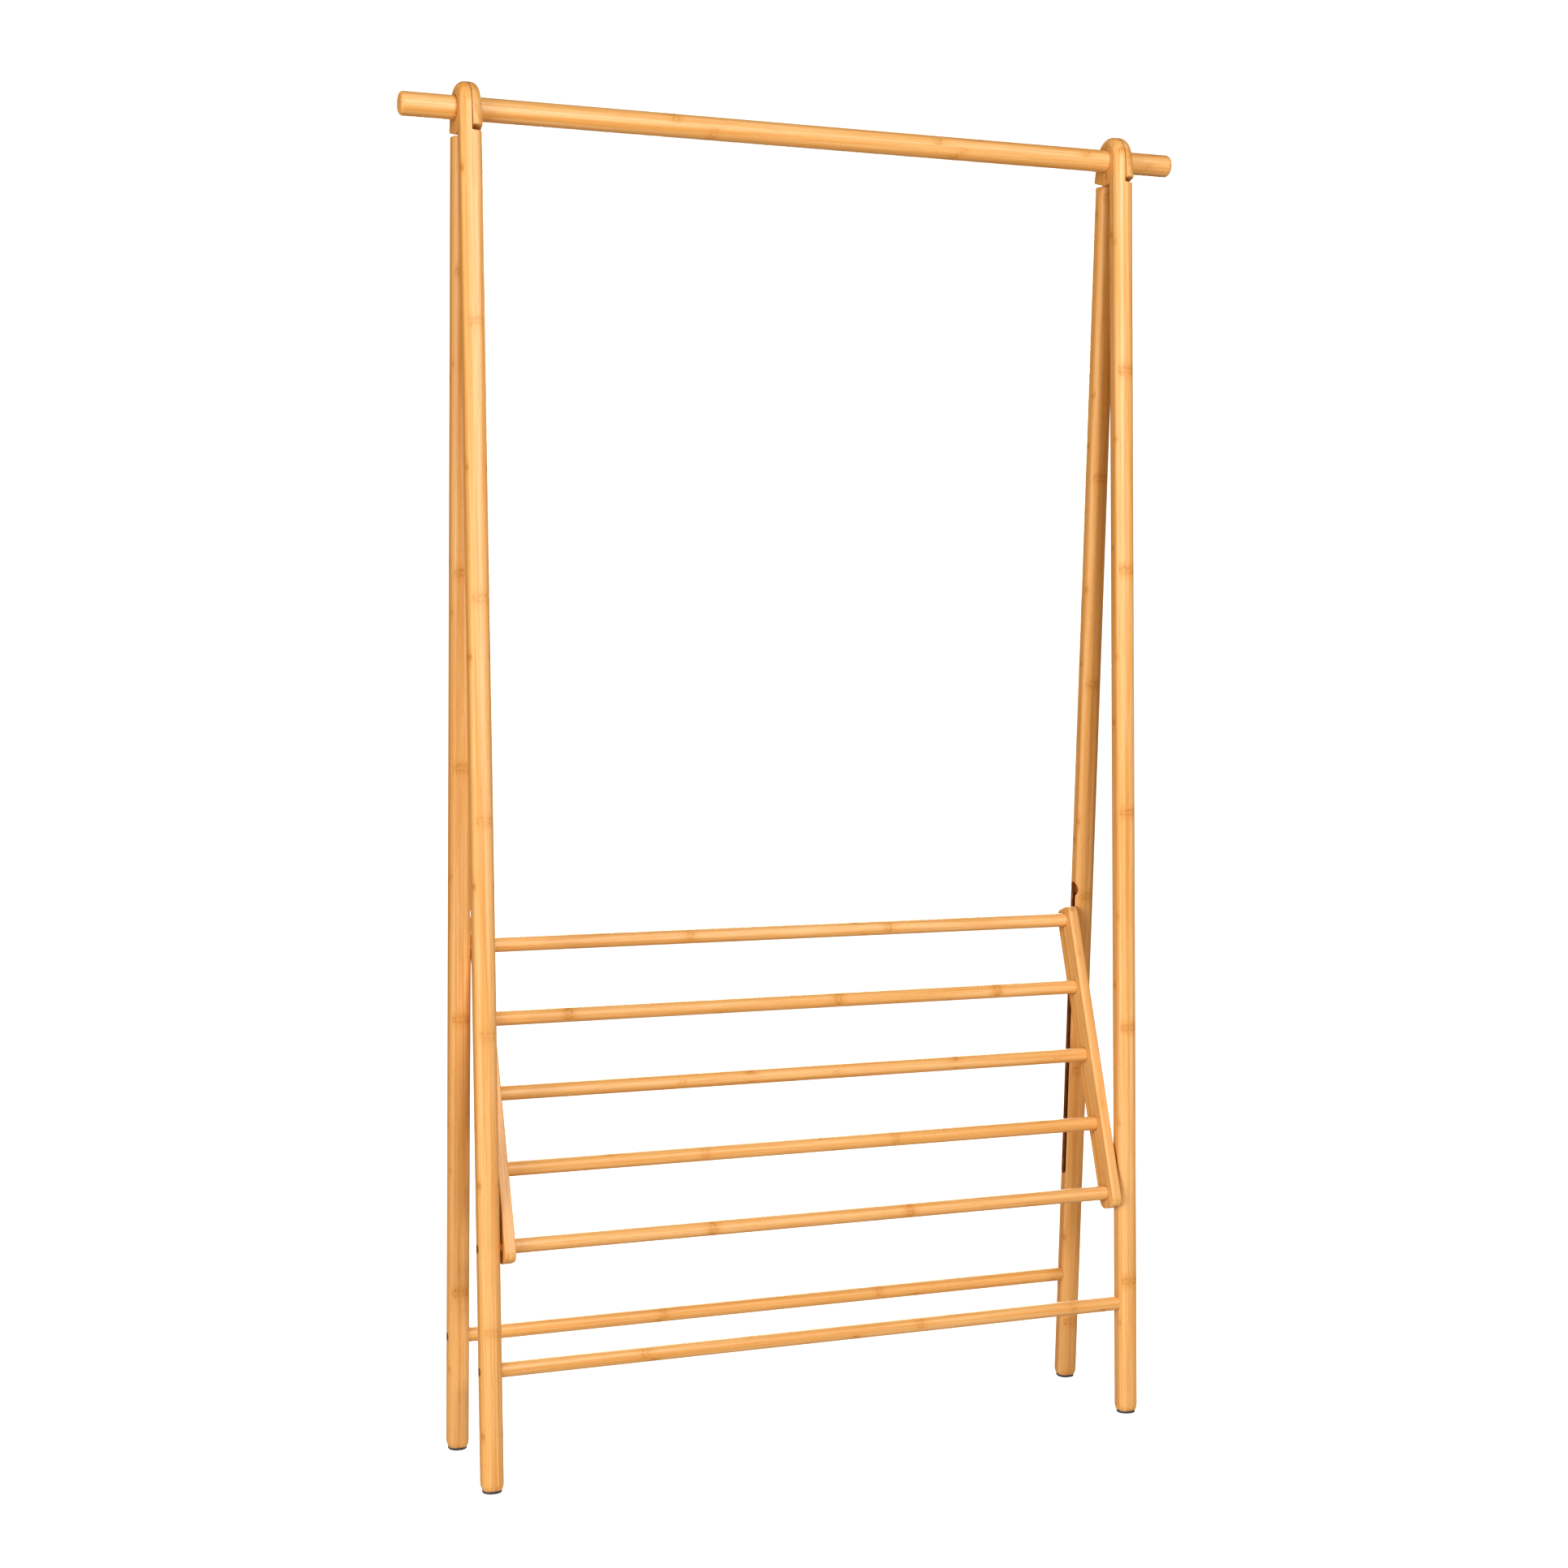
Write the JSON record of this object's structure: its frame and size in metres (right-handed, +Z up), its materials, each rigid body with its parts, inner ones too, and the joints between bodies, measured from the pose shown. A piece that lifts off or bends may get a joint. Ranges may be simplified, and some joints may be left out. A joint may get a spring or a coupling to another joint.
{
  "type": "folding clothes rack",
  "caption": "Folding bamboo clothes rack: a round hanging rail on two hinged A-frames, with a slatted shelf that swings down almost level as the legs open.",
  "frame": {"origin": "on the floor, midway between the side frames and below the rail axis", "axes": "+X along the rail to the right, +Y to the back, +Z up"},
  "size_m": [0.986, 0.19, 1.6098],
  "materials": {
    "bamboo": "satin varnish",
    "steel": "zinc plated",
    "pad": "matt"
  },
  "bodies": {
    "front_frame": {"front_leg_left": "bamboo", "front_leg_right": "bamboo", "front_stretcher": "bamboo", "front_stretcher_screws": "steel", "front_foot_pad_left": "pad", "front_foot_pad_right": "pad"},
    "rail": {"hang_rail": "bamboo"},
    "rear_frame": {"rear_leg_left": "bamboo", "rear_leg_right": "bamboo", "rear_stretcher": "bamboo", "rear_stretcher_screws": "steel", "rear_foot_pad_left": "pad", "rear_foot_pad_right": "pad"},
    "shelf_axle": {"shelf_rod_5": "bamboo", "shelf_pivot_screws": "steel", "pivot_spacer_left": "bamboo", "pivot_spacer_right": "bamboo"},
    "shelf": {"shelf_bar_left": "bamboo", "shelf_bar_right": "bamboo", "shelf_rod_1": "bamboo", "shelf_rod_2": "bamboo", "shelf_rod_3": "bamboo", "shelf_rod_4": "bamboo"},
    "slot_pins": {"slot_pin_left": "steel", "slot_pin_right": "steel"}
  },
  "joints": [
    {"name": "fold_flat", "type": "hinge", "parent": "front_frame", "child": "rail", "pos_m": [0, 0, 1.58036], "axis": [1, 0, 0], "range_deg": [-4.78, 0]},
    {"name": "spread_open", "type": "hinge", "parent": "rail", "child": "rear_frame", "pos_m": [0, 0, 1.58036], "axis": [1, 0, 0], "range_deg": [0, 9.53]},
    {"name": "shelf_lift", "type": "hinge", "parent": "front_frame", "child": "shelf_axle", "pos_m": [0, -0.07061, 0.28418], "axis": [1, 0, 0], "range_deg": [0, 13.25]},
    {"name": "shelf_drop", "type": "hinge", "parent": "shelf_axle", "child": "shelf", "pos_m": [0, -0.07061, 0.28418], "axis": [1, 0, 0], "range_deg": [-64.28, 0]},
    {"name": "slot_slide", "type": "slide", "parent": "rear_frame", "child": "slot_pins", "axis": [0, 0.0417, -0.9991], "range_m": [0, 0.33273]}
  ],
  "couplings": [
    {"joint": "shelf_lift", "follows": "fold_flat", "ratio": -2.7724},
    {"joint": "shelf_drop", "follows": "spread_open", "ratio": -6.7474},
    {"joint": "slot_slide", "follows": "spread_open", "m_per_rad": 2.0013}
  ]
}
